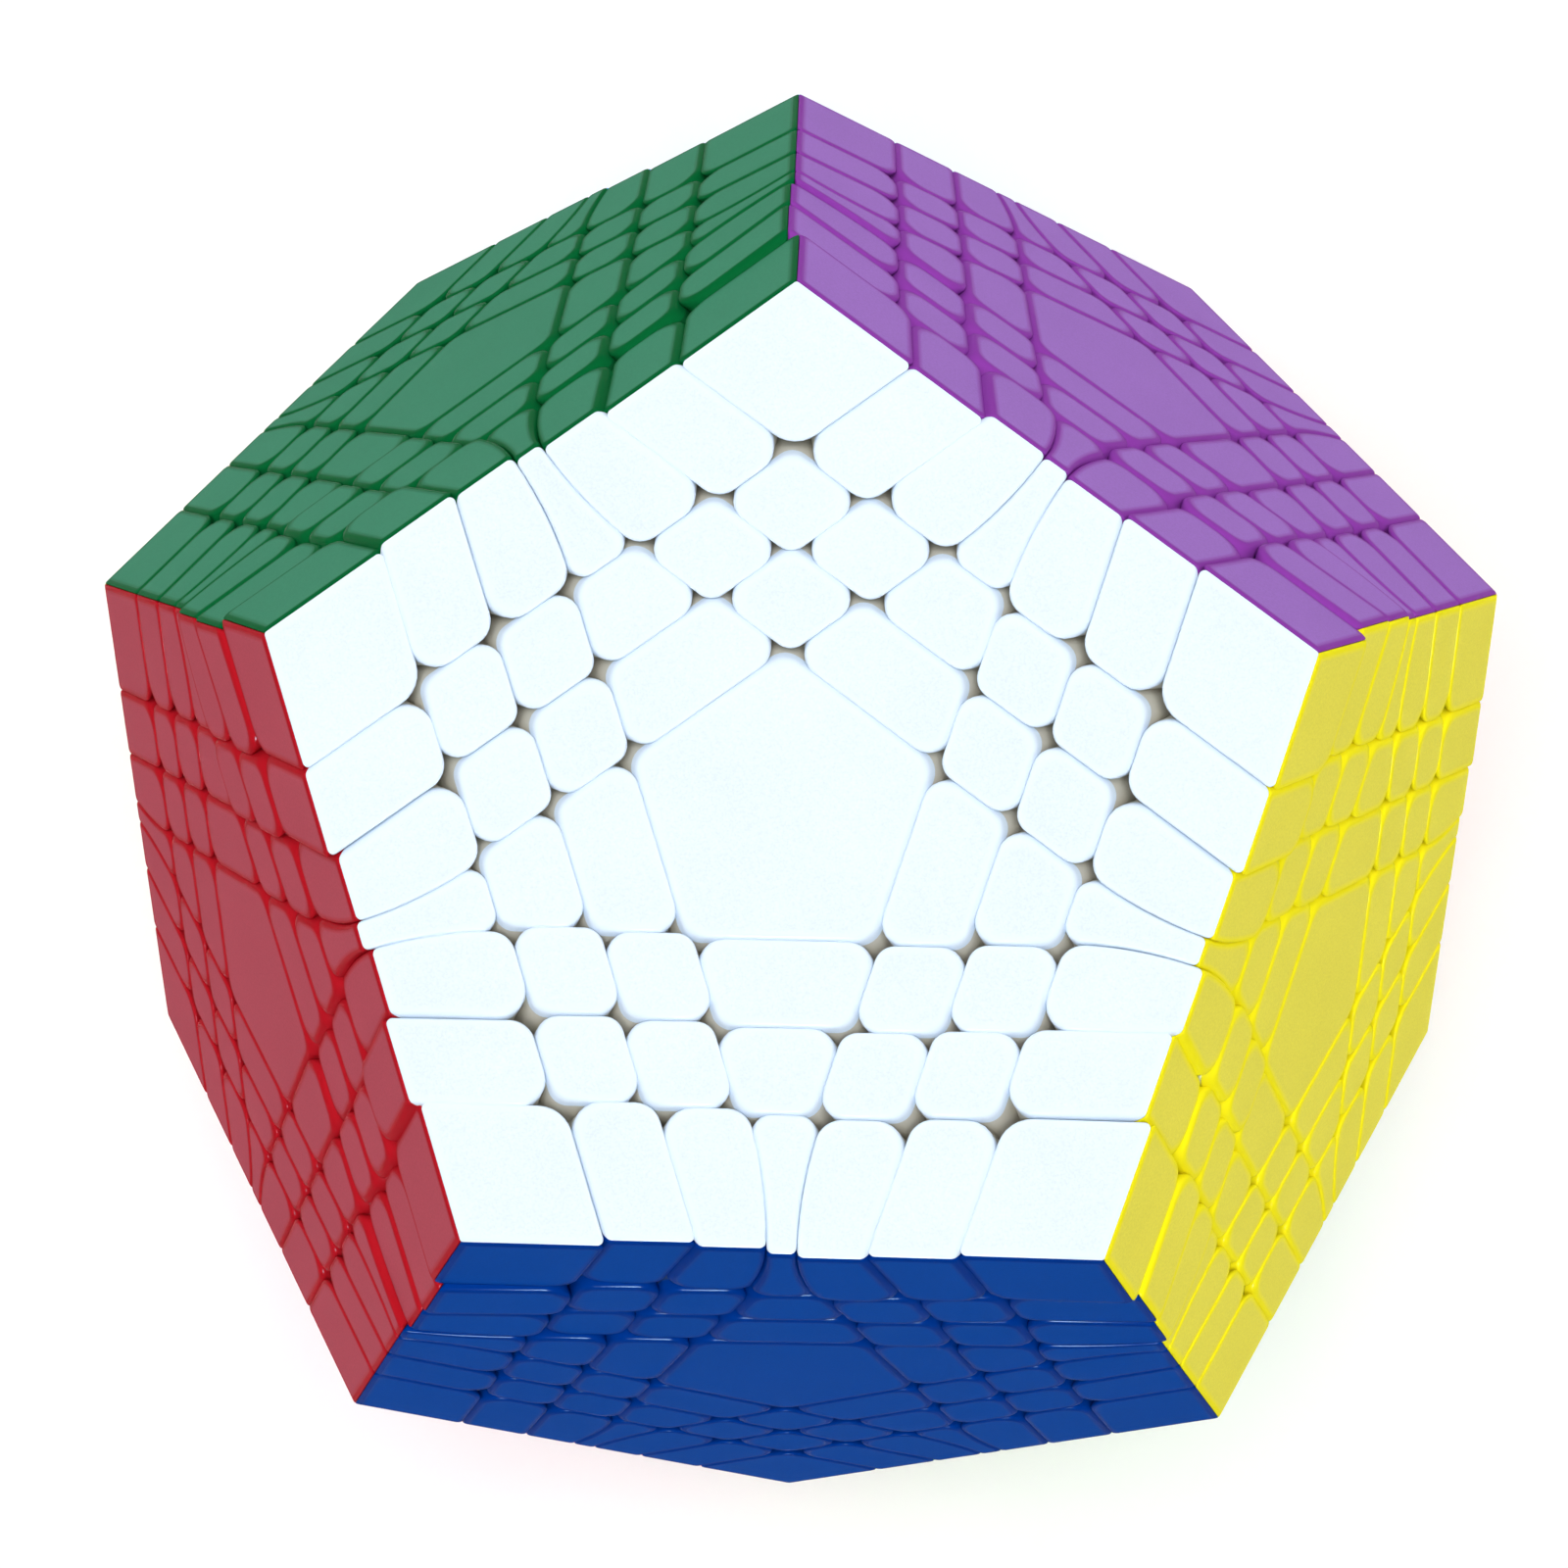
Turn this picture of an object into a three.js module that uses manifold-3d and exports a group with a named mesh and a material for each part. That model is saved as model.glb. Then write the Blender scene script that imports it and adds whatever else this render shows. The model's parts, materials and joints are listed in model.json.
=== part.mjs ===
// A dodecahedral twisty puzzle with three turning layers under each of its twelve faces, in millimetres.
// It stands on its grey face, +Z up, with the origin at the middle of that face. The white face is on top.
//
// Every cut is a surface of revolution about a face's axis, so each layer can turn past all that it touches.
// The first two cuts are flat. The third is flat in the middle and flares towards its own face near the rim,
// which leaves room for the narrow middle piece of each edge.
//
// The real puzzle has 542 outer pieces. They are gathered here into sixty solids, each made of whole pieces:
// the corners, the centres, a ring for each turning layer, and the rest of each fixed face. Grooves in a
// ring or face show where one piece ends and the next begins. The white, lime and cream axes turn: no two
// of these faces are neighbours, so their layers share no piece and can all be turned at once.
//
// A dodecahedron looks the same from every face, so each shape is made in one standard position, under the
// face that points along +Z, and its mesh is then turned to the face that it belongs to.
import * as THREE from "three";
import { mergeVertices } from "three/addons/utils/BufferGeometryUtils.js";
import Module from "manifold-3d";

// Driving dimensions.
const EDGE = 46;
// How far from the shared edge the cuts meet a neighbour's face.
const ROW_DEPTHS = [0, 0.2194 * EDGE, 0.3541 * EDGE, 0.4899 * EDGE];
// The flare of the third cut, against the distance from its axis.
const FLARE = { start: 1.0 * EDGE, end: 1.1035 * EDGE, rate: 3.2 / EDGE, steps: 2 };
const RUNNING_GAP = 0.4;
const GROOVE = { width: 0.36, depth: 0.9, overrun: 0.6 };
const TURNED_SIDES = 40;

const CORE = {
  block: 13, armRadius: 4.2, armTip: 21, boreRadius: 1.65, boreBottom: 11, sides: 8, space: 22,
};
const CAP = { height: 4.6, gap: 0.4 };
const POST = { radius: 4.5, bottom: 21.6, boreRadius: 3.2, shoulder: 26, sides: 12 };
const SCREW = { radius: 1.25, bottom: 12, headBottom: 38, headTop: 40.2, headRadius: 2.7, sides: 10 };
const SPRING = {
  radius: 2.2, wire: 0.36, bottom: 26.8, top: 37.2, turns: 4, stepsPerTurn: 9, wireSides: 5,
};

// What follows from them.
const PHI = (1 + Math.sqrt(5)) / 2;
const TILT = Math.atan(2); // between the normals of two neighbouring faces
const FIFTH = (2 * Math.PI) / 5;
const FACE_DISTANCE = (EDGE * PHI ** 2) / (2 * Math.sqrt(3 - PHI));
const PENTAGON_INRADIUS = EDGE / (2 * Math.tan(Math.PI / 5));
const CUT_HEIGHTS = ROW_DEPTHS.map((depth) => FACE_DISTANCE - depth * Math.sin(TILT));
const CENTRE_INRADIUS = PENTAGON_INRADIUS - ROW_DEPTHS[3];
const SPAN = 3 * EDGE; // larger than the puzzle every way

const MOVING = ["white", "lime", "cream"];
const COLOURS = {
  white: 0xf2fafd, blue: 0x174a9c, yellow: 0xe9e04c, purple: 0x9a62c6, green: 0x2f8457, red: 0xc04658,
  lime: 0x8fd14a, orange: 0xf08a2c, sky: 0x6cc0ee, cream: 0xf3eab4, pink: 0xf3a3bd, grey: 0x8f9498,
  core: 0x3a3b3e, steel: 0xb9bcc0,
};

const wasm = await Module();
wasm.setup();

// The direction that leans away from +Z by a tilt, towards an azimuth.
function leaning(tilt, azimuth) {
  const across = Math.sin(tilt);
  return new THREE.Vector3(across * Math.cos(azimuth), across * Math.sin(azimuth), Math.cos(tilt));
}

// Twelve directions: +Z, the five round it, the five below those, and -Z.
function twelveDirections(firstAzimuth) {
  const five = [0, 1, 2, 3, 4];
  return [
    leaning(0, 0),
    ...five.map((i) => leaning(TILT, firstAzimuth + i * FIFTH)),
    ...five.map((i) => leaning(Math.PI - TILT, firstAzimuth + (i + 0.5) * FIFTH)),
    leaning(Math.PI, 0),
  ];
}

// The axes of a face: z along its own direction, x towards a neighbour.
function axesOf(direction, neighbour) {
  const x = neighbour.clone().addScaledVector(direction, -neighbour.dot(direction)).normalize();
  return new THREE.Matrix4().makeBasis(x, direction.clone().cross(x), direction);
}

function areNeighbours(a, b) {
  return Math.abs(a.dot(b) - Math.cos(TILT)) < 1e-6;
}

// The standard position: TOP is the face above, and AROUND are its neighbours.
const STAR = twelveDirections(0);
const TOP = 0;
const AROUND = [1, 2, 3, 4, 5];
const AXES = STAR.map((one) => axesOf(one, STAR.find((other) => areNeighbours(one, other))));

// The faces as they stand.
const FACE_NAMES = [
  "white", "blue", "yellow", "purple", "green", "red", "lime", "orange", "sky", "cream", "pink", "grey",
];
const FACES = twelveDirections(-Math.PI / 2).map((normal, i) => ({ name: FACE_NAMES[i], normal }));
for (const face of FACES) {
  face.neighbours = FACES.filter((other) => areNeighbours(face.normal, other.normal));
  face.moving = MOVING.includes(face.name);
  face.axes = axesOf(face.normal, face.neighbours[0].normal);
}

// A closed three.js geometry as a manifold-3d solid, placed by a matrix.
function solidOf(geometry, matrix = new THREE.Matrix4()) {
  const bare = geometry.clone().applyMatrix4(matrix);
  bare.deleteAttribute("normal");
  bare.deleteAttribute("uv");
  const merged = mergeVertices(bare, 1e-4);
  const corners = merged.index.array;
  const kept = [];
  for (let i = 0; i < corners.length; i += 3) {
    const [a, b, c] = corners.slice(i, i + 3);
    if (a !== b && b !== c && c !== a) kept.push(a, b, c);
  }
  return new wasm.Manifold(
    new wasm.Mesh({
      numProp: 3,
      vertProperties: merged.getAttribute("position").array,
      triVerts: new Uint32Array(kept),
    }),
  );
}

function geometryOf(solid) {
  const mesh = solid.getMesh();
  const geometry = new THREE.BufferGeometry();
  geometry.setAttribute("position", new THREE.BufferAttribute(mesh.vertProperties, 3));
  geometry.setIndex(new THREE.BufferAttribute(mesh.triVerts, 1));
  geometry.computeVertexNormals();
  return geometry;
}

function union(solids) {
  return solids.reduce((all, one) => all.add(one));
}

function subtractAll(solid, others) {
  return others.reduce((left, one) => left.subtract(one), solid);
}

// A solid turned about a face's axis. The profile holds [distance from the axis, height above the centre].
function turned(profile, sides, face = TOP) {
  const points = profile.map(([radius, height]) => new THREE.Vector2(radius, height));
  return solidOf(new THREE.LatheGeometry(points, sides).rotateX(Math.PI / 2), AXES[face]);
}

function cylinder(radius, bottom, top, sides, face = TOP) {
  return turned([[0, bottom], [radius, bottom], [radius, top], [0, top]], sides, face);
}

// A five-sided prism on the top face's axis, with its sides facing the neighbours.
function pentagonPrism(inradius, bottom, top) {
  const circumradius = inradius / Math.cos(FIFTH / 2);
  const outline = AROUND.map((i) => {
    const angle = (i - 0.5) * FIFTH;
    return new THREE.Vector2(circumradius * Math.cos(angle), circumradius * Math.sin(angle));
  });
  const options = { depth: top - bottom, bevelEnabled: false };
  const prism = new THREE.ExtrudeGeometry(new THREE.Shape(outline), options);
  return solidOf(prism.translate(0, 0, bottom));
}

function flareRise(radius) {
  return FLARE.rate * Math.max(0, radius - FLARE.start) ** 2;
}

// The space on a face's side of its flared third cut.
function flaredSpace(face, offset) {
  const height = CUT_HEIGHTS[3] + offset;
  const profile = [[0, height]];
  for (let step = 0; step <= FLARE.steps; step++) {
    const radius = FLARE.start + (step / FLARE.steps) * (FLARE.end - FLARE.start);
    profile.push([radius, height + flareRise(radius)]);
  }
  const slope = 2 * FLARE.rate * (FLARE.end - FLARE.start);
  const [lastRadius, lastHeight] = profile.at(-1);
  profile.push([SPAN / 2, lastHeight + slope * (SPAN / 2 - lastRadius)], [SPAN / 2, SPAN], [0, SPAN]);
  return turned(profile, TURNED_SIDES, face);
}

// The space on a face's side of one of its cuts, moved outwards by an offset. Level 0 is the face itself.
function beyondCut(face, level, offset = 0) {
  if (level === 3) return flaredSpace(face, offset);
  const block = new THREE.BoxGeometry(SPAN, SPAN, SPAN);
  return solidOf(block.translate(0, 0, CUT_HEIGHTS[level] + offset + SPAN / 2), AXES[face]);
}

// A dodecahedron with its faces at a given distance from the centre.
function dodecahedron(distance) {
  const whole = solidOf(new THREE.BoxGeometry(SPAN, SPAN, SPAN));
  return subtractAll(whole, STAR.map((_, face) => beyondCut(face, 0, distance - FACE_DISTANCE)));
}

const BODY = dodecahedron(FACE_DISTANCE);
const CORE_SPACE = dodecahedron(CORE.space);

// How far from the middle of the top face, towards a neighbour, that neighbour's cut meets it. Along is the
// distance sideways from the middle.
function cutOnTop(level, along) {
  let across = PENTAGON_INRADIUS - ROW_DEPTHS[level];
  if (level < 3) return across;
  for (let pass = 0; pass < 8; pass++) {
    const height = across * Math.sin(TILT) + FACE_DISTANCE * Math.cos(TILT);
    const radius = Math.sqrt(FACE_DISTANCE ** 2 + across ** 2 + along ** 2 - height ** 2);
    across = PENTAGON_INRADIUS - ROW_DEPTHS[3] + flareRise(radius) / Math.sin(TILT);
  }
  return across;
}

// A V-shaped groove along a cut on the top face. Its first-cut grooves lean the way that the cut goes down.
function groove(level) {
  const reach = EDGE / 2 + ROW_DEPTHS[level] * Math.tan(FIFTH / 4) + GROOVE.overrun;
  const bends = level === 3 ? [-0.57 * EDGE, -0.45 * EDGE, 0.45 * EDGE, 0.57 * EDGE] : [];
  const lean = level === 1 ? GROOVE.depth / Math.tan(TILT) : 0;
  const positions = [-reach, ...bends, reach].flatMap((along) => {
    const across = cutOnTop(level, along);
    return [
      [across - GROOVE.width - lean, along, FACE_DISTANCE + GROOVE.depth],
      [across + GROOVE.width - lean, along, FACE_DISTANCE + GROOVE.depth],
      [across + lean, along, FACE_DISTANCE - GROOVE.depth],
    ];
  });
  const last = positions.length - 3;
  const faces = [0, 2, 1, last, last + 1, last + 2];
  for (let i = 0; i < last; i += 3) {
    for (const [a, b] of [[i, i + 1], [i + 1, i + 2], [i + 2, i]]) faces.push(a, b, b + 3, a, b + 3, a + 3);
  }
  const geometry = new THREE.BufferGeometry();
  geometry.setAttribute("position", new THREE.Float32BufferAttribute(positions.flat(), 3));
  geometry.setIndex(faces);
  return geometry;
}

const GROOVE_SHAPES = [1, 2, 3].map(groove);

// The grooves that one face's cuts leave on its five neighbours.
function groovesOfCuts(face) {
  const neighbours = STAR.filter((other) => areNeighbours(other, STAR[face]));
  return neighbours.flatMap((other) => {
    const axes = axesOf(other, STAR[face]);
    return GROOVE_SHAPES.map((shape) => solidOf(shape, axes));
  });
}

const GROOVES = STAR.map((_, face) => union(groovesOfCuts(face)));

function groovesBut(skipped) {
  return union(GROOVES.filter((_, face) => !skipped.includes(face)));
}

// The space between two neighbouring faces' first cuts and their shared edge: a row of edge pieces.
function edgeSpace(a, b, offset) {
  return beyondCut(a, 1, offset).intersect(beyondCut(b, 1, offset));
}

function cornerSpace(three, offset) {
  return edgeSpace(three[0], three[1], offset).intersect(beyondCut(three[2], 1, offset));
}

// The sets of three directions that meet at a corner, each in anticlockwise order.
function cornerTriples(directions) {
  const triples = [];
  directions.forEach((a, i) =>
    directions.forEach((b, j) =>
      directions.forEach((c, k) => {
        const meet = areNeighbours(a, b) && areNeighbours(b, c) && areNeighbours(a, c);
        if (meet && i < j && i < k && a.clone().cross(b).dot(c) > 0) triples.push([i, j, k]);
      }),
    ),
  );
  return triples;
}

const CORNERS = cornerTriples(STAR);
const CORNER_POCKETS = CORNERS.map((three) => cornerSpace(three, -RUNNING_GAP / 2));

function postBore(bottom, top) {
  return cylinder(POST.radius + RUNNING_GAP, bottom, top, POST.sides);
}

function centrePocket() {
  return pentagonPrism(CENTRE_INRADIUS + RUNNING_GAP / 2, CUT_HEIGHTS[1] - RUNNING_GAP / 2, SPAN / 2);
}

// The outer turning layer: the edge and centre pieces of a face, without its corners and its middle.
function outerRing() {
  const slab = BODY.intersect(beyondCut(TOP, 1, RUNNING_GAP / 2));
  const pockets = CORNER_POCKETS.filter((_, i) => CORNERS[i].includes(TOP));
  return subtractAll(slab, [...pockets, centrePocket(), groovesBut([TOP])]);
}

// The second or third turning layer.
function innerRing(level) {
  const slab = BODY.intersect(beyondCut(TOP, level, RUNNING_GAP / 2));
  const outer = beyondCut(TOP, level - 1, -RUNNING_GAP / 2);
  return subtractAll(slab, [outer, postBore(CUT_HEIGHTS[3] - 1, CUT_HEIGHTS[1] + 1), groovesBut([TOP])]);
}

// The part of the puzzle that is nearer to the top face than to any other.
function wedge() {
  const beyond = AROUND.map((i) => {
    const across = STAR[i].clone().sub(STAR[TOP]).normalize();
    const block = new THREE.BoxGeometry(SPAN, SPAN, SPAN).translate(0, 0, SPAN / 2 - RUNNING_GAP / 2);
    return solidOf(block, axesOf(across, STAR[TOP]));
  });
  return subtractAll(BODY.intersect(beyondCut(TOP, 0, -FACE_DISTANCE)), beyond);
}

// The pieces of a fixed face. Moving holds the directions that turn, and owned the neighbours whose shared
// edge row belongs to this face: each row between two fixed faces goes whole with one of them.
function fixedFace(moving, owned) {
  const fixed = AROUND.filter((i) => !moving.includes(i));
  const gained = fixed.filter((i) => owned.includes(i));
  const lost = fixed.filter((i) => !owned.includes(i));
  const rows = gained.map((i) => edgeSpace(TOP, i, RUNNING_GAP / 2).intersect(BODY));
  return subtractAll(union([wedge(), ...rows]), [
    ...lost.map((i) => edgeSpace(TOP, i, -RUNNING_GAP / 2)),
    ...moving.map((i) => beyondCut(i, 3, -RUNNING_GAP / 2)),
    ...CORNER_POCKETS,
    centrePocket(),
    postBore(CORE.space - 1, CUT_HEIGHTS[1]),
    CORE_SPACE,
    groovesBut(moving),
  ]);
}

function corner() {
  return BODY.intersect(cornerSpace(CORNERS[0], RUNNING_GAP / 2));
}

// The five-sided cap in the middle of a turning face, which clips over its post.
function centreCap() {
  return pentagonPrism(CENTRE_INRADIUS - RUNNING_GAP / 2, FACE_DISTANCE - CAP.height, FACE_DISTANCE);
}

// The flanged post under a cap. Its bore holds the spring and screw, and opens at both ends.
function centrePost() {
  const flangeBottom = CUT_HEIGHTS[1] + RUNNING_GAP / 2;
  const top = FACE_DISTANCE - CAP.height - CAP.gap;
  const flange = pentagonPrism(CENTRE_INRADIUS - RUNNING_GAP / 2, flangeBottom, top);
  const tube = cylinder(POST.radius, POST.bottom, flangeBottom + 1, POST.sides);
  const bore = cylinder(POST.boreRadius, POST.shoulder, SPAN / 2, POST.sides);
  const hole = cylinder(CORE.boreRadius, 0, POST.shoulder + 1, CORE.sides);
  return subtractAll(flange.add(tube), [bore, hole]);
}

// The centre of a fixed face: cap, flange and post in one.
function fixedCentre() {
  const bottom = CUT_HEIGHTS[1] + RUNNING_GAP / 2;
  const head = pentagonPrism(CENTRE_INRADIUS - RUNNING_GAP / 2, bottom, FACE_DISTANCE);
  return head.add(cylinder(POST.radius, POST.bottom, bottom + 1, POST.sides));
}

function screw() {
  const { radius, bottom, headBottom, headTop, headRadius, sides } = SCREW;
  const shank = [[0, bottom], [radius, bottom], [radius, headBottom]];
  const head = [[headRadius, headBottom], [headRadius, headTop], [0, headTop]];
  return turned([...shank, ...head], sides);
}

class SpringPath extends THREE.Curve {
  getPoint(share, target = new THREE.Vector3()) {
    const angle = share * SPRING.turns * 2 * Math.PI;
    const height = SPRING.bottom + share * (SPRING.top - SPRING.bottom);
    return target.set(SPRING.radius * Math.cos(angle), SPRING.radius * Math.sin(angle), height);
  }
}

function spring() {
  const outline = [];
  for (let i = 0; i < SPRING.wireSides; i++) {
    const angle = (i * 2 * Math.PI) / SPRING.wireSides;
    outline.push(new THREE.Vector2(SPRING.wire * Math.cos(angle), SPRING.wire * Math.sin(angle)));
  }
  const steps = SPRING.turns * SPRING.stepsPerTurn;
  const options = { steps, extrudePath: new SpringPath(), bevelEnabled: false };
  return solidOf(new THREE.ExtrudeGeometry(new THREE.Shape(outline), options));
}

// The twelve-armed core. The screws of the turning faces are driven into the bores of their arms.
function core() {
  const arms = STAR.map((_, face) => cylinder(CORE.armRadius, 0, CORE.armTip, CORE.sides, face));
  const turning = FACES.flatMap((face, i) => (face.moving ? [i] : []));
  const bores = turning.map((i) => cylinder(CORE.boreRadius, CORE.boreBottom, SPAN / 2, CORE.sides, i));
  return subtractAll(union([dodecahedron(CORE.block), ...arms]), bores);
}

function material(colour) {
  const metal = colour === "steel";
  return new THREE.MeshStandardMaterial({
    name: colour,
    color: COLOURS[colour],
    roughness: metal ? 0.35 : 0.45,
    metalness: metal ? 1 : 0,
  });
}

const puzzle = new THREE.Group();
puzzle.position.z = FACE_DISTANCE;

// Adds a shape made in the standard position, turned to where its face is.
function place(name, geometry, colour, axes) {
  const mesh = new THREE.Mesh(geometry, material(colour));
  mesh.name = name;
  mesh.quaternion.setFromRotationMatrix(axes);
  puzzle.add(mesh);
}

// The direction in the standard position that becomes another face once a shape is placed on a face.
function localIndex(face, other) {
  const local = other.normal.clone().applyMatrix4(face.axes.clone().transpose());
  return STAR.findIndex((direction) => direction.distanceTo(local) < 1e-6);
}

place("core", geometryOf(core()), "core", axesOf(FACES[0].normal, FACES[1].normal));

const cornerShape = geometryOf(corner());
for (const [i, j, k] of cornerTriples(FACES.map((face) => face.normal))) {
  const name = ["corner", FACES[i].name, FACES[j].name, FACES[k].name].join("_");
  place(name, cornerShape, FACES[i].name, axesOf(FACES[i].normal, FACES[j].normal));
}

const turningShapes = {
  layer_1_ring: geometryOf(outerRing()),
  layer_2_ring: geometryOf(innerRing(2)),
  layer_3_ring: geometryOf(innerRing(3)),
  centre_cap: geometryOf(centreCap()),
  centre_post: geometryOf(centrePost()),
  axis_screw: geometryOf(screw()),
  axis_spring: geometryOf(spring()),
};
const inside = { centre_post: "core", axis_screw: "steel", axis_spring: "steel" };
for (const face of FACES.filter((one) => one.moving)) {
  for (const [shape, geometry] of Object.entries(turningShapes)) {
    place(face.name + "_" + shape, geometry, inside[shape] ?? face.name, face.axes);
  }
}

const fixedCentreShape = geometryOf(fixedCentre());
for (const face of FACES.filter((one) => !one.moving)) {
  const moving = FACES.filter((other) => other.moving).map((other) => localIndex(face, other));
  const later = face.neighbours.filter((other) => FACES.indexOf(other) > FACES.indexOf(face));
  const owned = later.map((other) => localIndex(face, other));
  place(face.name + "_face_pieces", geometryOf(fixedFace(moving, owned)), face.name, face.axes);
  place(face.name + "_centre", fixedCentreShape, face.name, face.axes);
}

const part = new THREE.Group();
part.add(puzzle);

export default part;
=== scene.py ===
"""The looks of a dodecahedral twisty puzzle, in metres, in the frame of its CAD model.

Each of the twelve faces has 61 tiles: 5 corners, 25 edge tiles, 20 rhombic and 10 trapezoid centres, and one
five-sided cap. A tile is a closed shell in its face's colour, with a frosted top whose milky tone is partly a
painted sheen, small clear fillets and walls that follow the cuts into the puzzle, painted darker as shade
below a thin skin. Tiles are gathered by the body that they turn with and by colour.
Under the shells of each body lies a dark inner block.
"""
import json
import math

import bmesh
import bpy
import numpy as np
from mathutils import Matrix, Vector


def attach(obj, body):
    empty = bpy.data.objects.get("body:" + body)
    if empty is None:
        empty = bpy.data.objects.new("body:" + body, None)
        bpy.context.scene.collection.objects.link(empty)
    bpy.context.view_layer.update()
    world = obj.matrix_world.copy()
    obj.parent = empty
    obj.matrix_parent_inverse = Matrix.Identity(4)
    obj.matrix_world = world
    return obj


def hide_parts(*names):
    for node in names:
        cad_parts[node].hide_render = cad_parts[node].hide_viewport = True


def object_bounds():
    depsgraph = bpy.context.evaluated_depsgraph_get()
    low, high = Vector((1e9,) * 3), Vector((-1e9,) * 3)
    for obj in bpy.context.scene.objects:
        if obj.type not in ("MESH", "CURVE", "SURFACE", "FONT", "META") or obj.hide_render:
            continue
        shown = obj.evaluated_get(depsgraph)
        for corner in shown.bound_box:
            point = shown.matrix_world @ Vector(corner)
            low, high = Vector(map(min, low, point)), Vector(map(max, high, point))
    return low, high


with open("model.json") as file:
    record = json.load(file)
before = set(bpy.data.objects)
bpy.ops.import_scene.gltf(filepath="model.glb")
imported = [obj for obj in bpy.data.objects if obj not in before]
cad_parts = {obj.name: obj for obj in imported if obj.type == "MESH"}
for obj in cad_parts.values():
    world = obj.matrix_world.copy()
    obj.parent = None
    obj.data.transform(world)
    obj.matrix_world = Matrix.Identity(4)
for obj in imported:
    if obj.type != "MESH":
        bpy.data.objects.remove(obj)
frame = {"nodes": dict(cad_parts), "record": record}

CAD_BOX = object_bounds()

MM = 0.001

# The solid, from the CAD model's height.
CENTRE = Vector((0, 0, (CAD_BOX[0].z + CAD_BOX[1].z) / 2))
FACE = (CAD_BOX[1].z - CAD_BOX[0].z) / 2  # from the centre to a face
EDGE = FACE / 1.113516  # a regular dodecahedron's inner radius is 1.113516 edges
APOTHEM = 0.688191 * EDGE  # from the middle of a face to its edge
TILT = math.atan(2)  # between the normals of two faces that touch
SIN, COS = math.sin(TILT), math.cos(TILT)
MITRE = math.tan(TILT / 2)  # how fast a shell's mitred side leans in, per depth
FIFTH = math.tau / 5

# The cuts. Cut 0 is the face's own edge. The deepest cut is flat near the turning axis and rises further out.
ROWS = [0, 0.2194 * EDGE, 0.3541 * EDGE, 0.4899 * EDGE]  # how far down the next face each cut lies
HEIGHTS = [FACE - d * SIN for d in ROWS]  # how far from the centre, along the turning axis
FLARE_START = 1.0 * EDGE
FLARE_RATE = 3.2 / EDGE
RUNNING_GAP = 0.4 * MM  # between the inner blocks of two layers

# The tiles. Each ends in a mitred wall along a neighbouring face and in an upright one along a cut.
GAP = 0.02 * MM  # between two pieces, across a cut
SEAM = 0.02 * MM  # between two colours of one piece
FILLET = 0.32 * MM
FILLET_STEPS = (0.16, 0.32, 0.5, 0.7)  # shares of the fillet's quarter turn
WALL_START = FILLET + 0.25 * MM  # where the wall's first ring lies, so that its shading stays flat
FLARE_DEPTHS = (1.4 * MM, 3.7 * MM, 5.1 * MM)  # where a flared wall is bent on its way down
FROST_AND_SHEEN_FADE = 0.4 * MM  # the border in which a tile's frosted top, with its painted sheen, grows clear
FROST_AND_SHEEN_AT_FILLET = 0.1  # what is left of the frosting and its painted sheen at the fillet
EDGE_RADIUS = 0.75 * MM  # the rounding along the edge that a tile shares with another face
SKIN = 0.9 * MM  # how deep the clear tone of a face goes; below it the walls take a darker copy of the colour, painted shade
DEPTH = 6.5 * MM
CAP_DEPTH = 4.6 * MM
# The rounding of a tile's corners, seen from above, inside a face, at its edge and at the solid's vertex.
ROUND = {
    "corner": 2.6 * MM, "edge": 1.9 * MM, "middle": 1.2 * MM,
    "rhomb": 1.5 * MM, "trapezoid": 1.55 * MM, "cap": 1.8 * MM,
}
ROUND_AT_EDGE = 0.4 * MM
ROUND_AT_VERTEX = 0.25 * MM
LONGEST_CUT = 0.46  # the most of a side that one rounded corner takes up
ARC_STEPS = 6
CURVE_SAMPLES = 6  # along a flared side
TANGENT_SHARE = 0.2  # how much of a flared side gives its direction at a corner
SOLVER_ROUNDS = 12
SHARP = math.radians(50)  # an edge that bends more than this is shaded as sharp

# The inner blocks.
UNDER_TILES = FACE - DEPTH - 0.1 * MM  # from the centre to a block's faces
POST_BORE = 4.9 * MM
FLANGE_BORE = (APOTHEM - ROWS[3] + 0.3 * MM) / math.cos(FIFTH / 2)  # clears the cap's five corners
CORE_ROOM = 22 * MM  # from the centre to each side of the hollow that the core lies in

NAMES = [
    "white", "blue", "yellow", "purple", "green", "red",
    "lime", "orange", "sky", "cream", "pink", "grey",
]
MOVING = ["white", "lime", "cream"]
# How far each of a face's three layers was left from true by whoever last turned it, in degrees.
ASKEW = {
    "white": (-0.4, 0.6, 0.4), "blue": (-1.0, 0.0, -0.7), "yellow": (-0.4, 0.0, 0.3),
    "purple": (1.5, 1.2, 0.5), "green": (-0.5, -0.6, 0.2), "red": (0.3, 0.9, 0.5),
}


def leaning(tilt, azimuth):
    """A direction at an angle from straight up, towards an azimuth."""
    return Vector((math.sin(tilt) * math.cos(azimuth), math.sin(tilt) * math.sin(azimuth), math.cos(tilt)))


NORMALS = (
    [leaning(0, 0)]
    + [leaning(TILT, -math.pi / 2 + i * FIFTH) for i in range(5)]
    + [leaning(math.pi - TILT, -math.pi / 2 + (i + 0.5) * FIFTH) for i in range(5)]
    + [leaning(math.pi, 0)]
)
NORMAL = dict(zip(NAMES, NORMALS))


def axes_of(name):
    """A face's own axes as a matrix's columns, and its neighbours in anticlockwise order from the x axis."""
    z = NORMAL[name]
    near = [n for n in NAMES if abs(NORMAL[n].dot(z) - COS) < 1e-4]
    x = (NORMAL[near[0]] - z * COS).normalized()
    y = z.cross(x)
    near.sort(key=lambda n: math.atan2(NORMAL[n].dot(y), NORMAL[n].dot(x)) % math.tau + 1e-6)
    start = near.index(min(near, key=lambda n: -NORMAL[n].dot(x)))
    return np.array([x, y, z]).T, near[start:] + near[:start]


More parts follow.
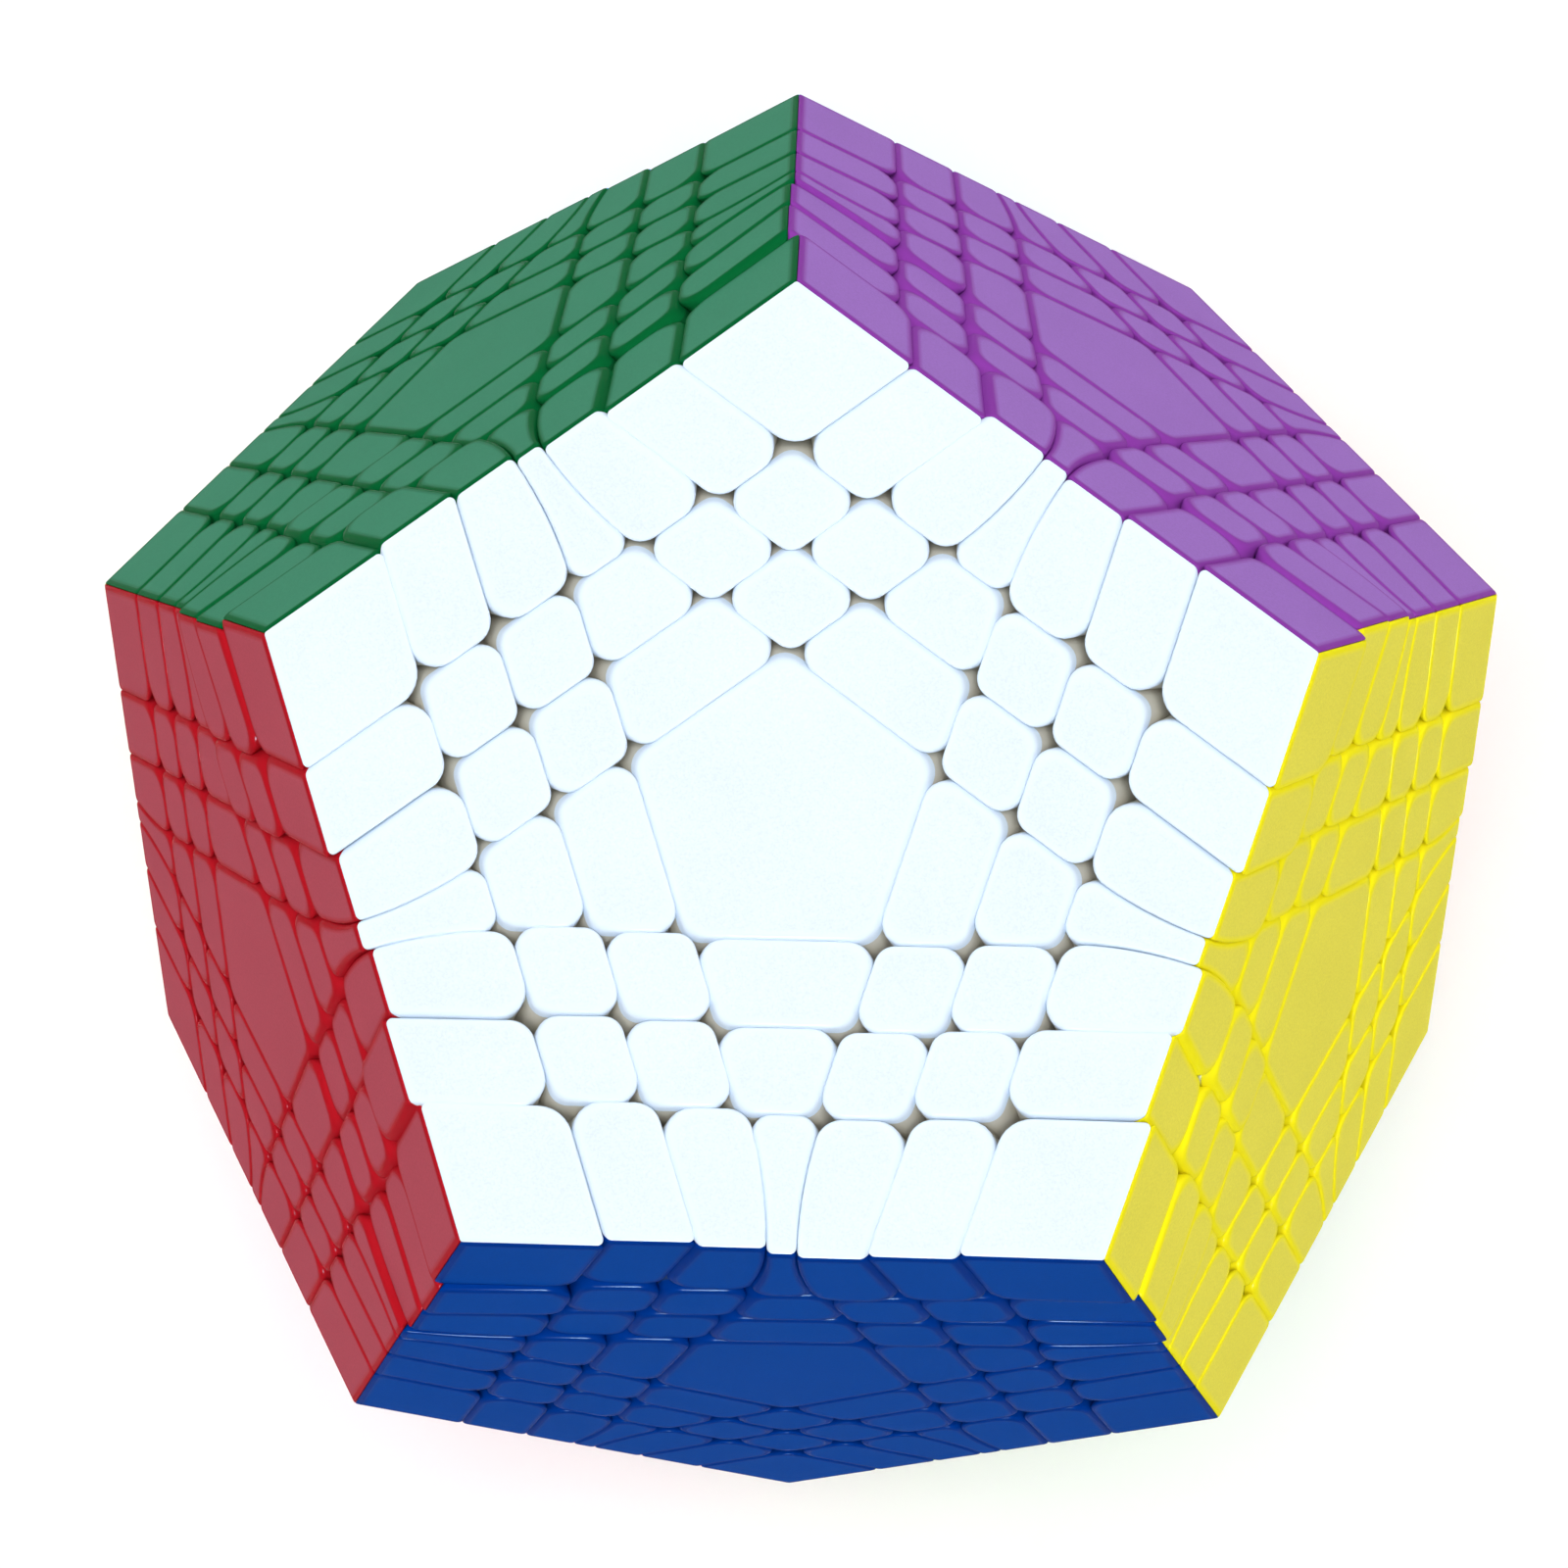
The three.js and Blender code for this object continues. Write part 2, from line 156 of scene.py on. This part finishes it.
# Directions on a face: towards each neighbour, and sideways from there. A side of a tile is written as (the
# neighbour's number, the number of that neighbour's cut, +1 if the tile lies on the middle's side of the cut,
# or -1), and cut 0 is the face's edge.
TOWARDS = np.array([[math.cos(k * FIFTH), math.sin(k * FIFTH)] for k in range(5)])
SIDEWAYS = np.array([[-math.sin(k * FIFTH), math.cos(k * FIFTH)] for k in range(5)])


def reach(side, point, depth):
    """How far towards its neighbour a side's surface lies, level with a point at a depth under the face."""
    k, level, _ = side
    if level == 0:
        return APOTHEM - MITRE * depth
    height = point @ TOWARDS[k] * SIN + (FACE - depth) * COS
    radius = math.sqrt(max(0.0, (FACE - depth) ** 2 + point @ point - height**2))
    rise = FLARE_RATE * max(0.0, radius - FLARE_START) ** 2 if level == 3 else 0.0
    return (HEIGHTS[level] + rise - (FACE - depth) * COS) / SIN


def crossing(a, b, depth, inset):
    """Where two sides meet, each moved into the tile by its inset."""
    ends = np.array([TOWARDS[a[0]], TOWARDS[b[0]]])
    point = np.linalg.solve(ends, [APOTHEM - ROWS[a[1]], APOTHEM - ROWS[b[1]]])
    for _ in range(SOLVER_ROUNDS):
        target = [reach(side, point, depth) - side[2] * inset(side) for side in (a, b)]
        point = np.linalg.solve(ends, target)
    return point


def beside(side, point, depth, inset):
    """The point of a side that is level with a point near it."""
    k = side[0]
    along = point @ SIDEWAYS[k]
    for _ in range(SOLVER_ROUNDS):
        point = (reach(side, point, depth) - side[2] * inset(side)) * TOWARDS[k] + along * SIDEWAYS[k]
    return point


def corner_radius(kind, a, b):
    """How round a tile's corner is, which depends on how many of its two sides lie on the face's edge."""
    sides_on_edge = (a[1] == 0) + (b[1] == 0)
    return [ROUND[kind], ROUND_AT_EDGE, ROUND_AT_VERTEX][sides_on_edge]


def is_flared(kind, side):
    """Whether a side is long and deep enough to show how the deepest cut rises."""
    return kind in ("edge", "middle") and side[1] == 3


def loop(kind, sides, depth, inset):
    """A tile's outline at a depth, anticlockwise, with rounded corners and curved flares."""
    n = len(sides)
    corners = [crossing(sides[i - 1], sides[i], depth, inset) for i in range(n)]
    curved = [is_flared(kind, side) for side in sides]
    arrive, leave = [], []  # the outline's direction before and after each corner
    for i in range(n):
        here, before, after = corners[i], corners[i - 1], corners[(i + 1) % n]
        if curved[i - 1]:
            before = beside(sides[i - 1], here + TANGENT_SHARE * (before - here), depth, inset)
        if curved[i]:
            after = beside(sides[i], here + TANGENT_SHARE * (after - here), depth, inset)
        arrive.append((here - before) / np.linalg.norm(here - before))
        leave.append((after - here) / np.linalg.norm(after - here))
    arcs = []
    for i in range(n):
        turn = math.acos(max(-1.0, min(1.0, float(arrive[i] @ leave[i]))))
        radius = corner_radius(kind, sides[i - 1], sides[i])
        before, after = corners[i] - corners[i - 1], corners[(i + 1) % n] - corners[i]
        room = min(np.linalg.norm(before), np.linalg.norm(after))
        cut = min(radius * math.tan(turn / 2), LONGEST_CUT * room)
        radius = cut / math.tan(turn / 2)
        start = corners[i] - cut * arrive[i]
        middle = start + radius * np.array([-arrive[i][1], arrive[i][0]])
        first = start - middle
        arc = []
        for step in range(ARC_STEPS + 1):
            angle = turn * step / ARC_STEPS
            c, s = math.cos(angle), math.sin(angle)
            arc.append(middle + np.array([c * first[0] - s * first[1], s * first[0] + c * first[1]]))
        arcs.append(arc)
    points = []
    for i in range(n):
        points += arcs[i]
        if curved[i]:
            a, b = arcs[i][-1], arcs[(i + 1) % n][0]
            for step in range(1, CURVE_SAMPLES + 1):
                share = step / (CURVE_SAMPLES + 1)
                points.append(beside(sides[i], a + share * (b - a), depth, inset))
    return np.array(points)


def inset_at(depth, cut):
    """A function that says how far a side moves in at a depth where those along cuts move in by an amount."""
    reached = min(depth, EDGE_RADIUS)
    round_edge = EDGE_RADIUS * MITRE - math.sqrt(reached * (2 * EDGE_RADIUS - reached)) - depth * MITRE
    beyond = max(0.0, cut - FILLET)
    at_edge = SEAM / 2 + max(0.0, round_edge) + beyond
    at_cut = GAP / 2 / SIN + cut
    return lambda side: at_edge if side[1] == 0 else at_cut


def shell(kind, sides):
    """A tile as vertices in its face's frame, how frosted it is at each, which also sets its painted sheen,
    and its faces, each with the number of its material: 0 for the coloured skin, 1 for the stem under it,
    painted darker as shade."""
    bottom = CAP_DEPTH if kind == "cap" else DEPTH
    profile = [(0, FILLET + FROST_AND_SHEEN_FADE), (0, FILLET)]
    for step in FILLET_STEPS:
        t = step * math.pi / 2
        profile.append((FILLET * (1 - math.cos(t)), FILLET * (1 - math.sin(t))))
    profile += [(FILLET, 0), (WALL_START, 0), (SKIN, 0)]
    if any(is_flared(kind, side) for side in sides):
        profile += [(depth, 0) for depth in FLARE_DEPTHS]
    profile.append((bottom, 0))
    rings = []
    for depth, cut in profile:
        flat = loop(kind, sides, depth, inset_at(depth, cut))
        rings.append(np.column_stack([flat, np.full(len(flat), FACE - depth)]))
    n = len(rings[0])
    frost = [1.0] * n + [FROST_AND_SHEEN_AT_FILLET] * n + [0.0] * (n * (len(rings) - 2))
    faces = [(tuple(range(n)), 0)]
    for i in range(len(rings) - 1):
        a, b = i * n, (i + 1) * n
        part = 0 if profile[i][0] < SKIN else 1
        faces += [((a + j, b + j, b + (j + 1) % n, a + (j + 1) % n), part) for j in range(n)]
    last = (len(rings) - 1) * n
    faces.append((tuple(range(last + n - 1, last - 1, -1)), 1))
    return np.vstack(rings), frost, faces


def tile_kinds():
    """Each tile of a face: its kind, its sides anticlockwise, and the rows that it lies in as
    {neighbour's number: row}."""
    kinds = [("cap", [(k, 3, 1) for k in range(5)], {})]
    for k in range(5):
        on, back = (k + 1) % 5, (k - 1) % 5
        kinds.append(("corner", [(k, 0, 1), (on, 0, 1), (k, 1, -1), (on, 1, -1)], {k: 1, on: 1}))
        kinds.append(("middle", [(k, 0, 1), (on, 3, 1), (k, 1, -1), (back, 3, 1)], {k: 1}))
        for i in (2, 3):
            kinds.append(("edge", [(k, 0, 1), (on, i - 1, 1), (k, 1, -1), (on, i, -1)], {k: 1, on: i}))
            kinds.append(("edge", [(k, 0, 1), (back, i, -1), (k, 1, -1), (back, i - 1, 1)], {k: 1, back: i}))
            kinds.append(("trapezoid", [(k, i - 1, 1), (on, 3, 1), (k, i, -1), (back, 3, 1)], {k: i}))
            for j in (2, 3):
                sides = [(k, i - 1, 1), (on, j - 1, 1), (k, i, -1), (on, j, -1)]
                kinds.append(("rhomb", sides, {k: i, on: j}))
    return kinds


def body_of(face, rows, near):
    """The body that a tile turns with, from its face, its rows and the face's neighbours."""
    if face in MOVING:
        return face + "_layer_1"
    for k, row in rows.items():
        if near[k] in MOVING:
            return f"{near[k]}_layer_{row}"
    return "root"


def leave_askew(points, body, layers):
    """Shifts a piece by the small turns of its layers. Only the level part of each turn is taken, so that no
    piece crosses the flat cuts between the white face's layers. The pieces that lie in no layer of the white
    face follow the purple face alone, since only its layers meet neither the lime nor the cream ones."""
    followed = ASKEW if body.startswith("white") else ["purple"]
    height = HEIGHTS[layers["white"] - 1] if "white" in layers else HEIGHTS[-1]
    turn, slide = 0.0, Vector((0, 0, 0))
    for face in followed:
        if face not in layers:
            continue
        angle = math.radians(ASKEW[face][layers[face] - 1])
        axis = NORMAL[face]
        turn += angle * axis.z
        slide += angle * height * Vector((axis.x, axis.y, 0)).cross(Vector((0, 0, 1)))
    return points @ np.array(Matrix.Rotation(turn, 3, "Z")).T + np.array(slide)


# Materials.
def node(tree, kind, place, **inputs):
    """A new node, with the values of some of its inputs, where an underscore stands for a space."""
    made = tree.nodes.new(kind)
    made.location = place
    for name, value in inputs.items():
        made.inputs[name.replace("_", " ")].default_value = value
    return made


def plastic(name, colour, roughness, grain, spread, specular=0.5):
    """Moulded plastic: a fine grain in its roughness and relief, and a faint drift of tone."""
    material = bpy.data.materials.new(name)
    material.use_nodes = True
    tree = material.node_tree
    shader = tree.nodes["Principled BSDF"]
    shader.inputs["Specular IOR Level"].default_value = specular
    where = node(tree, "ShaderNodeTexCoord", (-1100, 0))
    drift = node(tree, "ShaderNodeTexNoise", (-860, 260), Scale=90.0, Detail=3.0, Roughness=0.5)
    tones = tree.nodes.new("ShaderNodeValToRGB")
    tones.name = "tones"
    tones.location = (-620, 260)
    darker = [c * (1 - spread) for c in colour]
    lighter = [min(1.0, c * (1 + spread)) for c in colour]
    tones.color_ramp.elements[0].position = 0.3
    tones.color_ramp.elements[0].color = (*darker, 1)
    tones.color_ramp.elements[1].position = 0.7
    tones.color_ramp.elements[1].color = (*lighter, 1)
    fine = node(tree, "ShaderNodeTexNoise", (-860, -40), Scale=5200.0, Detail=2.0, Roughness=0.6)
    fine.name = "fine"
    rough = tree.nodes.new("ShaderNodeMapRange")
    rough.name = "rough"
    rough.location = (-560, -40)
    rough.inputs["To Min"].default_value = roughness - 0.04
    rough.inputs["To Max"].default_value = roughness + 0.04
    bump = node(tree, "ShaderNodeBump", (-320, -220), Strength=grain, Distance=0.02 * MM)
    link = tree.links.new
    link(where.outputs["Object"], drift.inputs["Vector"])
    link(where.outputs["Object"], fine.inputs["Vector"])
    link(drift.outputs["Fac"], tones.inputs["Fac"])
    link(tones.outputs["Color"], shader.inputs["Base Color"])
    link(fine.outputs["Fac"], rough.inputs["Value"])
    link(rough.outputs["Result"], shader.inputs["Roughness"])
    link(fine.outputs["Fac"], bump.inputs["Height"])
    link(bump.outputs["Normal"], shader.inputs["Normal"])
    return material


def frosted(name, clear, milky_and_sheen):
    """A tile's plastic: frosted and milky on its top, the milky tone partly the frosting's own and partly a
    painted sheen; clear and glossy where the frosting ends.
    """
    material = plastic(name, milky_and_sheen, 0.5, 0.4, 0.02, specular=0.003)
    tree = material.node_tree
    link = tree.links.new
    shader = tree.nodes["Principled BSDF"]
    frost = node(tree, "ShaderNodeAttribute", (-860, 520))
    frost.attribute_name = "frost"
    speck = tree.nodes.new("ShaderNodeMapRange")
    speck.location = (-620, 60)
    speck.inputs["To Min"].default_value = 0.86
    speck.inputs["To Max"].default_value = 1.14
    link(tree.nodes["fine"].outputs["Fac"], speck.inputs["Value"])
    grainy = node(tree, "ShaderNodeVectorMath", (-320, 260))
    grainy.operation = "SCALE"
    link(tree.nodes["tones"].outputs["Color"], grainy.inputs[0])
    link(speck.outputs["Result"], grainy.inputs["Scale"])
    # Where it is frosted, the colour is the milky tone with its painted sheen; where it is not, the clear
    # tone.
    colour = node(tree, "ShaderNodeMix", (-120, 260))
    colour.data_type = "RGBA"
    colour.inputs["A"].default_value = (*clear, 1)
    link(frost.outputs["Fac"], colour.inputs["Factor"])
    link(grainy.outputs["Vector"], colour.inputs["B"])
    link(colour.outputs["Result"], shader.inputs["Base Color"])
    gloss = tree.nodes.new("ShaderNodeMapRange")
    gloss.location = (-320, 0)
    gloss.inputs["To Min"].default_value = 0.18
    link(frost.outputs["Fac"], gloss.inputs["Value"])
    link(tree.nodes["rough"].outputs["Result"], gloss.inputs["To Max"])
    link(gloss.outputs["Result"], shader.inputs["Roughness"])
    return material


# The milky tone of each face's frosted top: partly the frosting's own colour and partly a painted sheen, the
# whitish veil of a reflection laid into the colour.
MILKY_TONES_AND_SHEEN = {
    "white": (0.72, 0.81, 0.96), "blue": (0.0, 0.062, 0.36), "yellow": (0.865, 0.775, 0.090),
    "purple": (0.365, 0.177, 0.57), "green": (0.062, 0.27, 0.158), "red": (0.475, 0.078, 0.108),
    "lime": (0.24, 0.60, 0.05), "orange": (0.85, 0.22, 0.02), "sky": (0.12, 0.47, 0.82),
    "cream": (0.88, 0.79, 0.42), "pink": (0.88, 0.32, 0.46), "grey": (0.23, 0.25, 0.27),
}


def deepened(colour):
    """The clearer tone that a strong colour has where it isn't frosted: most of its grey, which on the
    frosted top is partly painted sheen, is taken out.
    """
    grey, high = 0.85 * min(colour), max(colour)
    if min(colour) > 0.5 * high:
        return colour
    return tuple(high * (c - grey) / (high - grey) for c in colour)


# The clear tone of each colour: worked out for the lower faces, and given one by one for the upper ones.
CLEAR = {c: deepened(v) for c, v in MILKY_TONES_AND_SHEEN.items()} | {
    "white": (0.745, 0.85, 0.965), "blue": (0.0, 0.033, 0.25), "yellow": (0.94, 0.84, 0.010),
    "purple": (0.26, 0.045, 0.37), "green": (0.002, 0.120, 0.030), "red": (0.44, 0.008, 0.016),
}
SKINS = {c: frosted(f"{c}_skin", CLEAR[c], MILKY_TONES_AND_SHEEN[c]) for c in MILKY_TONES_AND_SHEEN}
# Each stem is a darker copy of its face's clear tone: painted shade for the deep walls between tiles. The
# white stem's brown-grey is painted shade as well.
SHADED_STEMS = {c: plastic(f"{c}_shaded_stem", [0.6 * x for x in CLEAR[c]], 0.5, 0.2, 0.04, 0.05) for c in MILKY_TONES_AND_SHEEN}
SHADED_STEMS["white"] = plastic("white_shaded_stem", (0.66, 0.63, 0.54), 0.5, 0.2, 0.04, 0.05)
INNER = plastic("inner_plastic", (0.030, 0.022, 0.017), 0.6, 0.5, 0.12, 0.2)


def steel():
    """Plated steel, for the screws and springs: the plastic's fine grain on a metal."""
    material = plastic("plated_steel", (0.62, 0.63, 0.65), 0.28, 0.2, 0.05)
    material.node_tree.nodes["Principled BSDF"].inputs["Metallic"].default_value = 1.0
    return material


STEEL = steel()


def add_object(name, group, materials):
    """An object from a group's points, how frosted each is and so how much painted sheen it has, its faces
    and the numbers of their materials.
    """
    mesh = bpy.data.meshes.new(name)
    mesh.from_pydata([tuple(v) for v in np.vstack(group["points"])], [], group["faces"])
    for material in materials:
        mesh.materials.append(material)
    mesh.polygons.foreach_set("material_index", group["numbers"])
    mesh.polygons.foreach_set("use_smooth", [True] * len(group["faces"]))
    mesh.set_sharp_from_angle(angle=SHARP)
    mesh.attributes.new("frost", "FLOAT", "POINT").data.foreach_set("value", group["frost"])
    mesh.update()
    made = bpy.data.objects.new(name, mesh)
    bpy.context.scene.collection.objects.link(made)
    return made


def make_tiles():
    """One object for each body and colour, with the tiles of that colour that turn with that body."""
    templates = [(rows, *shell(kind, sides)) for kind, sides, rows in tile_kinds()]
    groups = {}
    for face in NAMES:
        axes, near = axes_of(face)
        for rows, local, frost, faces in templates:
            body = body_of(face, rows, near)
            layers = {face: 1} | {near[k]: row for k, row in rows.items()}
            points = local @ axes.T
            if body == "root" or body.startswith("white"):
                points = leave_askew(points, body, layers)
            group = groups.setdefault((body, face), {"points": [], "frost": [], "faces": [], "numbers": []})
            base = len(group["frost"])
            group["points"].append(points + np.array(CENTRE))
            group["frost"] += frost
            group["faces"] += [tuple(base + i for i in corners) for corners, _ in faces]
            group["numbers"] += [number for _, number in faces]
    made = {}
    for (body, face), group in groups.items():
        tiles = add_object(f"tiles_{body}_{face}", group, [SKINS[face], SHADED_STEMS[face]])
        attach(tiles, body)
        made[body, face] = tiles
    return made


def block(name, planes):
    """A convex block: what lies behind every plane, given as (outward normal, distance from the centre)."""
    mesh = bpy.data.meshes.new(name)
    work = bmesh.new()
    bmesh.ops.create_cube(work, size=6 * EDGE)
    for normal, distance in planes:
        cut = bmesh.ops.bisect_plane(work, geom=work.verts[:] + work.edges[:] + work.faces[:], dist=1e-7,
                                     plane_co=normal * distance, plane_no=normal, clear_outer=True)
        rim = [e for e in cut["geom_cut"] if isinstance(e, bmesh.types.BMEdge)]
        if rim:
            bmesh.ops.edgenet_fill(work, edges=rim)
    bmesh.ops.translate(work, verts=work.verts, vec=CENTRE)
    bmesh.ops.recalc_face_normals(work, faces=work.faces)
    work.to_mesh(mesh)
    work.free()
    made = bpy.data.objects.new(name, mesh)
    bpy.context.scene.collection.objects.link(made)
    return made


def rod(normal, radius, low, high, sides=32):
    """A closed many-sided bar along a face's axis, used to bore a block."""
    mesh = bpy.data.meshes.new("bar")
    work = bmesh.new()
    length = high - low
    bmesh.ops.create_cone(work, cap_ends=True, segments=sides, radius1=radius, radius2=radius, depth=length)
    turn = normal.to_track_quat("Z", "Y").to_matrix().to_4x4()
    place = Matrix.Translation(CENTRE + normal * (low + high) / 2) @ turn
    bmesh.ops.transform(work, matrix=place, verts=work.verts)
    work.to_mesh(mesh)
    work.free()
    made = bpy.data.objects.new("bar", mesh)
    bpy.context.scene.collection.objects.link(made)
    return made


def bore(made, bars):
    """Cuts each bar out of a block, and deletes the bar."""
    for bar in bars:
        modifier = made.modifiers.new("bore", "BOOLEAN")
        modifier.operation = "DIFFERENCE"
        modifier.solver = "EXACT"
        modifier.object = bar
    bpy.context.view_layer.update()
    graph = bpy.context.evaluated_depsgraph_get()
    mesh = bpy.data.meshes.new_from_object(made.evaluated_get(graph))
    made.modifiers.clear()
    made.data = mesh
    for bar in bars:
        bpy.data.objects.remove(bar)


def make_blocks():
    """The dark inner block of each body, with room for the core and for the posts on the turning axes."""
    under = [(n, UNDER_TILES) for n in NORMALS]
    made = {}
    for face in MOVING:
        n = NORMAL[face]
        for level in (1, 2, 3):
            body = f"{face}_layer_{level}"
            low = HEIGHTS[level] + RUNNING_GAP / 2
            planes = under + [(-n, -low)]
            if level > 1:
                planes.append((n, HEIGHTS[level - 1] - RUNNING_GAP / 2))
            made[body] = block("inner_" + body, planes)
            bore(made[body], [rod(n, FLANGE_BORE if level == 1 else POST_BORE, low - 10 * MM, FACE, 40)])
    made["root"] = block("inner_root", under + [(NORMAL[f], HEIGHTS[3] - RUNNING_GAP / 2) for f in MOVING])
    hollow = block("hollow", [(n, CORE_ROOM) for n in NORMALS])
    bore(made["root"], [hollow] + [rod(NORMAL[f], POST_BORE, 20 * MM, FACE) for f in MOVING])
    for body, inner in made.items():
        inner.data.materials.clear()
        inner.data.materials.append(INNER)
        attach(inner, body)
    return made


TILES = make_tiles()
BLOCKS = make_blocks()

# Each CAD node that the tiles and blocks stand for. The core, posts, screws and springs stay as they are.
for body, members in frame["record"]["behaviour"]["bodies"].items():
    for member in members:
        if member == "core" or member.endswith(("_post", "_screw", "_spring")):
            shown = frame["nodes"][member]
            shown.data.materials.clear()
            shown.data.materials.append(STEEL if member.endswith(("_screw", "_spring")) else INNER)
        elif member.endswith(("_ring", "_face_pieces")):
            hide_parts(member)
        else:  # a corner, such as corner_white_blue_yellow, a cap or a centre
            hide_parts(member)


# The floor, the light and the camera.
def make_floor():
    """A pale floor just under the puzzle. It has no gloss, so that it shows no highlight of its own."""
    bpy.ops.mesh.primitive_plane_add(size=8, location=(0, 0, -0.2 * MM))
    floor = bpy.context.object
    floor.name = "floor"
    material = plastic("pale_floor", (0.97, 0.97, 0.97), 0.7, 0.0, 0.005, specular=0.0)
    floor.data.materials.append(material)


def soft_light(name, place, size, power, lights=True, reflected=True, colour=(1, 1, 1)):
    """A round light that lights what it shines on, is reflected in it, or does both."""
    light = bpy.data.lights.new(name, "AREA")
    light.shape = "DISK"
    light.size = size
    light.energy = power
    light.color = colour
    made = bpy.data.objects.new(name, light)
    made.location = place
    made.rotation_mode = "QUATERNION"
    made.rotation_quaternion = (Vector(place) - CENTRE).to_track_quat("Z", "Y")
    made.visible_camera = False
    made.visible_diffuse = lights
    made.visible_glossy = reflected
    bpy.context.scene.collection.objects.link(made)


make_floor()
# One light gives the brightness, and the other only the fine highlights on the blue face's fillets.
soft_light("overhead", (0.0, 0.05, 1.1), 0.7, 9.5, reflected=False)
soft_light("sparkle", (0.0, -0.38, 0.36), 0.1, 90.0, lights=False, colour=(0.5, 0.8, 1.0))

world = bpy.data.worlds.new("studio")
world.use_nodes = True
world.node_tree.nodes["Background"].inputs["Color"].default_value = (0.97, 0.985, 1.0, 1)
world.node_tree.nodes["Background"].inputs["Strength"].default_value = 0.4
bpy.context.scene.world = world
bpy.context.scene.view_settings.view_transform = "Standard"

# The camera looks down on the white face from near its axis.
camera = bpy.data.cameras.new("camera")
camera.sensor_width = 36
camera.lens = 60.07
camera.clip_start = 10 * MM
eye = bpy.data.objects.new("camera", camera)
forward = Vector((-0.0221, 0.0212, -0.9995)).normalized()
up = Vector((-0.0113, 0.9997, 0.0214))
right = forward.cross(up).normalized()
up = right.cross(forward)
turned = Matrix((right, up, -forward)).transposed().to_4x4()
eye.matrix_world = Matrix.Translation((0.00426, -0.00204, 0.28926)) @ turned
bpy.context.scene.collection.objects.link(eye)
bpy.context.scene.camera = eye
